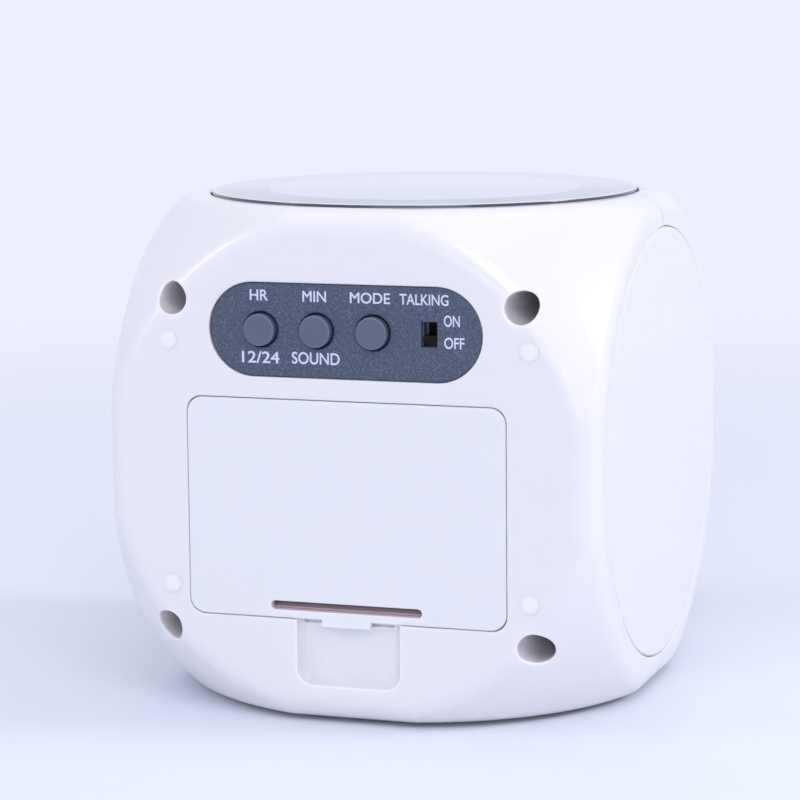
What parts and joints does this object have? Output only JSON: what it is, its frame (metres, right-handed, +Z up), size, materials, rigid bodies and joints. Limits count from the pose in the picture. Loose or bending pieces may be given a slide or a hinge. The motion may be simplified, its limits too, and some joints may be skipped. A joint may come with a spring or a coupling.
{
  "type": "projection alarm clock",
  "caption": "Rounded cube desk clock with round face plates, press-down top, rear keypad, talking switch, battery door, display and side projector.",
  "frame": {"origin": "middle of the footprint, on the surface the feet stand on", "axes": "+Z up; -Y out of the display, +Y out of the back with the keys and the battery door; +X out of the side with the projector"},
  "size_m": [0.08, 0.0808, 0.0806],
  "materials": {
    "white_shell": "injection moulded white ABS, glossy",
    "white_disc": "injection moulded white ABS, glossy",
    "smoked_window": "tinted clear acrylic",
    "black_rubber": "soft black rubber",
    "zinc_screws": "zinc plated steel",
    "clear_plate": "polished clear acrylic",
    "grey_carrier": "pale grey moulding under the clear plate",
    "circuit_board": "green glass fibre board",
    "switch_black": "black moulded plastic",
    "panel_slate": "slate blue panel with a fine sparkle",
    "button_slate": "slate blue moulded button",
    "tinned_sheet": "tinned steel sheet",
    "cell_wrap": "plain dark cell sleeve",
    "nickel_contacts": "nickel plated spring steel",
    "clear_window": "polished clear acrylic",
    "mask_navy": "dark print behind the window",
    "lcd": "liquid crystal glass",
    "frame_black": "black moulded plastic",
    "zebra_rubber": "striped conductive rubber",
    "guide_acrylic": "frosted acrylic",
    "led_package": "white lamp package",
    "epoxy_black": "black epoxy",
    "capacitor_sleeve": "shrunk sleeve",
    "speaker_steel": "plated steel basket",
    "speaker_paper": "coated film cone",
    "ferrite": "ferrite magnet",
    "slide_film": "small liquid crystal slide",
    "projector_optic": "clear moulded lens",
    "led_red": "red lamp",
    "lead_sleeve": "insulated wire",
    "ribbon_sleeve": "flat ribbon cable"
  },
  "bodies": {
    "clock_body": {"front_shell": "white_shell", "rear_shell": "white_shell", "left_side_disc": "white_disc", "right_side_disc": "white_disc", "projector_window": "smoked_window", "base_plate": "white_disc", "rubber_feet": "black_rubber", "shell_screws": "zinc_screws", "small_screws": "zinc_screws", "snooze_board": "circuit_board", "snooze_switch_body": "switch_black", "key_switch_bodies": "switch_black", "control_panel": "panel_slate", "key_board": "circuit_board", "talking_switch_case": "tinned_sheet", "battery_cell_top": "cell_wrap", "battery_cell_middle": "cell_wrap", "battery_cell_bottom": "cell_wrap", "battery_terminals": "nickel_contacts", "battery_jumpers": "nickel_contacts", "battery_springs": "nickel_contacts", "front_lens": "clear_window", "display_mask": "mask_navy", "lcd_glass": "lcd", "lcd_frame": "frame_black", "zebra_strips": "zebra_rubber", "light_guide": "guide_acrylic", "backlight_led": "led_package", "main_board": "circuit_board", "clock_chip": "epoxy_black", "crystal": "tinned_sheet", "capacitors": "capacitor_sleeve", "temperature_sensor": "epoxy_black", "speaker_frame": "speaker_steel", "speaker_cone": "speaker_paper", "speaker_magnet": "ferrite", "projector_barrel": "frame_black", "projector_slide": "slide_film", "projector_lens": "projector_optic", "led_board": "circuit_board", "projector_led": "led_red", "speaker_leads": "lead_sleeve", "snooze_leads": "lead_sleeve", "projector_leads": "lead_sleeve", "battery_leads": "lead_sleeve", "key_ribbon": "ribbon_sleeve"},
    "snooze_top": {"snooze_plate": "clear_plate", "snooze_carrier": "grey_carrier", "snooze_post_screws": "zinc_screws", "snooze_switch_plunger": "switch_black"},
    "hr_key": {"hr_button": "button_slate", "hr_switch_plunger": "switch_black"},
    "min_key": {"min_button": "button_slate", "min_switch_plunger": "switch_black"},
    "mode_key": {"mode_button": "button_slate", "mode_switch_plunger": "switch_black"},
    "talking_slider": {"talking_switch_knob": "switch_black"},
    "battery_cover": {"battery_door": "white_shell"}
  },
  "joints": [
    {"name": "snooze_press", "type": "slide", "parent": "clock_body", "child": "snooze_top", "axis": [0, 0, -1], "range_m": [0, 0.0005], "stiffness_N_per_m": 1500, "springref_m": -0.0005},
    {"name": "hr_press", "type": "slide", "parent": "clock_body", "child": "hr_key", "axis": [0, -1, 0], "range_m": [0, 0.0005], "stiffness_N_per_m": 600, "springref_m": -0.0005},
    {"name": "min_press", "type": "slide", "parent": "clock_body", "child": "min_key", "axis": [0, -1, 0], "range_m": [0, 0.0005], "stiffness_N_per_m": 600, "springref_m": -0.0005},
    {"name": "mode_press", "type": "slide", "parent": "clock_body", "child": "mode_key", "axis": [0, -1, 0], "range_m": [0, 0.0005], "stiffness_N_per_m": 600, "springref_m": -0.0005},
    {"name": "talking_slide", "type": "slide", "parent": "clock_body", "child": "talking_slider", "axis": [0, 0, 1], "range_m": [0, 0.002]},
    {"name": "battery_door_tilt", "type": "hinge", "parent": "clock_body", "child": "battery_cover", "pos_m": [0, 0.04, 0.05085], "axis": [1, 0, 0], "range_deg": [0, 75]}
  ]
}
